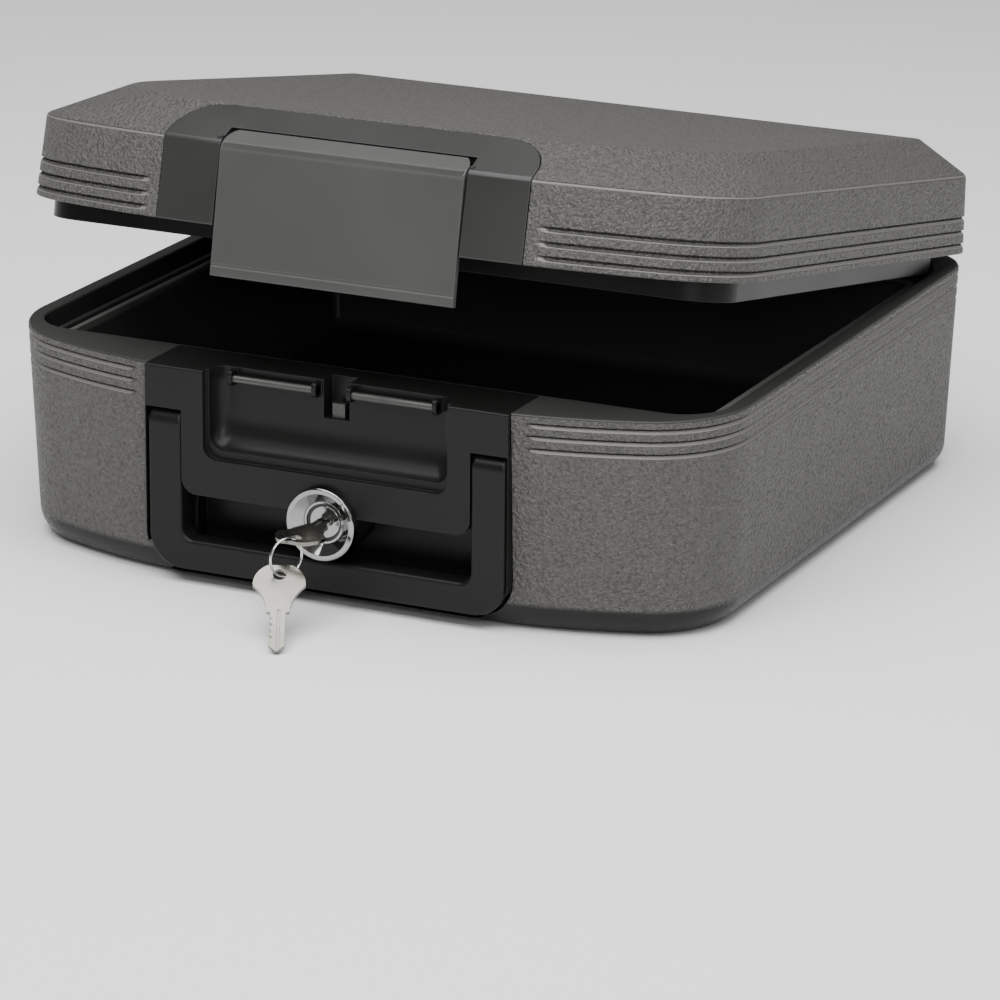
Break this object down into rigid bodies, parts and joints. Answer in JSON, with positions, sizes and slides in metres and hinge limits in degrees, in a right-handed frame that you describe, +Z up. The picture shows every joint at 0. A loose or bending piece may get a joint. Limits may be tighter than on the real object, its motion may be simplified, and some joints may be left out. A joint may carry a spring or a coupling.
{
  "type": "fireproof document box",
  "caption": "Fire-resistant document box, grey textured double-wall case part open, black latch panel, carry handle and chrome key lock",
  "frame": {"origin": "middle of the case's bottom face", "axes": "+Z up, -Y out of the front panel with the lock, +X to the right seen from the front"},
  "size_m": [0.391, 0.4647, 0.2333],
  "materials": {
    "textured_shell": "leather-grain moulded warm grey plastic",
    "liner_plastic": "satin black moulded plastic",
    "black_plastic": "satin black moulded plastic",
    "trim_plastic": "fine satin charcoal plastic",
    "flap_plastic": "satin grey plastic",
    "fire_fill": "cast mineral fill",
    "seal_rubber": "grey foam rubber",
    "chrome": "polished",
    "zinc": "plated",
    "steel": "zinc plated",
    "bar_steel": "dark satin",
    "hinge_steel": "dark grey powder coat",
    "key_metal": "nickel plated brass"
  },
  "bodies": {
    "base": {"base_shell": "textured_shell", "base_tub": "liner_plastic", "rim_frame": "liner_plastic", "base_insulation": "fire_fill", "rim_gasket": "seal_rubber", "front_panel": "black_plastic", "grip_pan": "black_plastic", "latch_tray": "black_plastic", "panel_screws": "steel", "catch_bars": "bar_steel", "handle_pins": "steel", "lock_bezel": "chrome", "lock_housing": "zinc", "lock_nut": "zinc", "bolt_guide": "zinc", "bolt_guide_screws": "steel", "base_hinge_leaves": "hinge_steel", "base_hinge_screws": "steel"},
    "carry_handle": {"handle": "black_plastic"},
    "lock_core": {"lock_plug": "chrome", "lock_cam": "zinc", "cam_screw": "steel"},
    "bolt": {"lock_bolt": "zinc"},
    "inserted_key": {"key": "key_metal"},
    "ring": {"key_ring": "steel"},
    "hanging_key": {"spare_key": "key_metal"},
    "lid": {"lid_shell": "textured_shell", "lid_liner": "black_plastic", "lid_tongue": "black_plastic", "lid_insulation": "fire_fill", "lid_trim": "trim_plastic", "trim_screws": "steel", "latch_pin": "steel", "lid_hinge_leaves": "hinge_steel", "lid_hinge_screws": "steel", "hinge_pins": "steel"},
    "latch": {"latch_flap": "flap_plastic"}
  },
  "joints": [
    {"name": "lid_hinge", "type": "hinge", "parent": "base", "child": "lid", "pos_m": [0, 0.1935, 0.086], "axis": [-1, 0, 0], "range_deg": [-10.7, 84.3]},
    {"name": "latch_pivot", "type": "hinge", "parent": "lid", "child": "latch", "pos_m": [0, -0.16124, 0.21755], "axis": [-1, 0, 0], "range_deg": [0, 60]},
    {"name": "handle_pivot", "type": "hinge", "parent": "base", "child": "carry_handle", "pos_m": [0, -0.1813, 0.081], "axis": [-1, 0, 0], "range_deg": [0, 90], "deforming": ["key_ring", "spare_key"]},
    {"name": "lock_turn", "type": "hinge", "parent": "base", "child": "lock_core", "pos_m": [0, -0.1875, 0.043], "axis": [0, -1, 0], "range_deg": [0, 80]},
    {"name": "bolt_slide", "type": "slide", "parent": "base", "child": "bolt", "axis": [0, 0, 1], "range_m": [0, 0.008]},
    {"name": "key_slide", "type": "slide", "parent": "lock_core", "child": "inserted_key", "axis": [0, -1, 0], "range_m": [0, 0.03]},
    {"name": "ring_hang", "type": "hinge", "parent": "inserted_key", "child": "ring", "pos_m": [0, -0.217, 0.043], "axis": [0, -1, 0], "range_deg": [-80, 0]},
    {"name": "spare_swing", "type": "hinge", "parent": "ring", "child": "hanging_key", "pos_m": [-0.00419, -0.22599, 0.0267], "axis": [-0.9063, -0.4226, 0], "range_deg": [0, 15]}
  ],
  "couplings": [
    {"joint": "bolt_slide", "follows": "lock_turn", "m_per_rad": 0.00573},
    {"joint": "ring_hang", "follows": "lock_turn", "ratio": -1}
  ]
}
